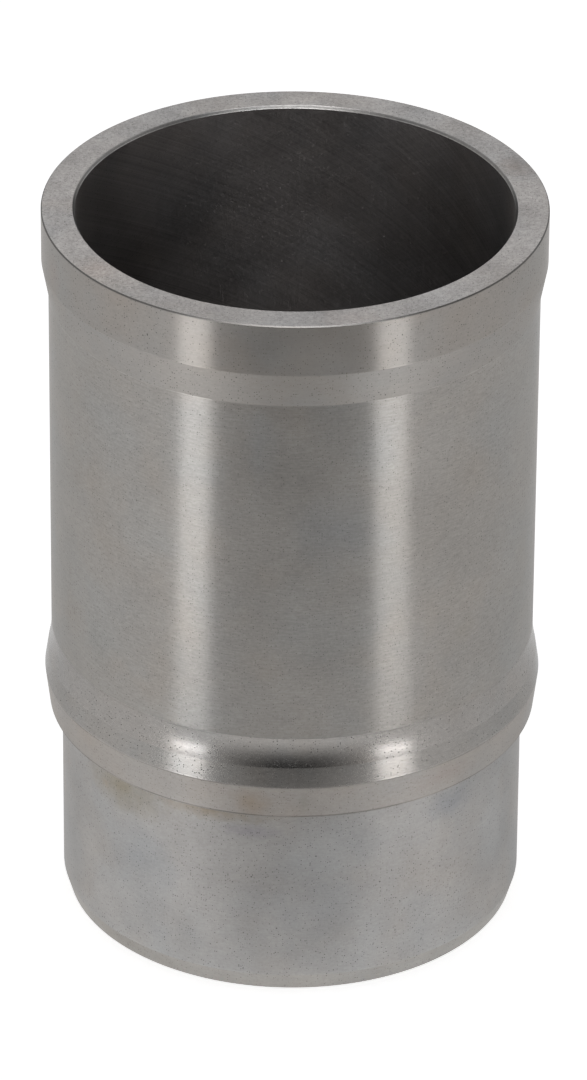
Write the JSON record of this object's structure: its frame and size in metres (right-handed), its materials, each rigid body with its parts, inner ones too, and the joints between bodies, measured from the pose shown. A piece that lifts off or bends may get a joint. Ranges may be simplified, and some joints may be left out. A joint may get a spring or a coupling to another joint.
{
  "type": "cylinder liner",
  "caption": "Straight engine cylinder liner: a honed iron tube with a top band, a long barrel, a locating collar with a flat seat, and a lower spigot with a tapered lead-in.",
  "frame": {"origin": "centre of the bottom end face, on the bore's axis", "axes": "+Z along the bore towards the top face; the part is a body of revolution, so X and Y are free"},
  "size_m": [0.1246, 0.1246, 0.1913],
  "materials": {
    "liner_iron": "ground and turned outside, cross-honed inside"
  },
  "bodies": {
    "root": {"cylinder_liner": "liner_iron"}
  },
  "joints": []
}
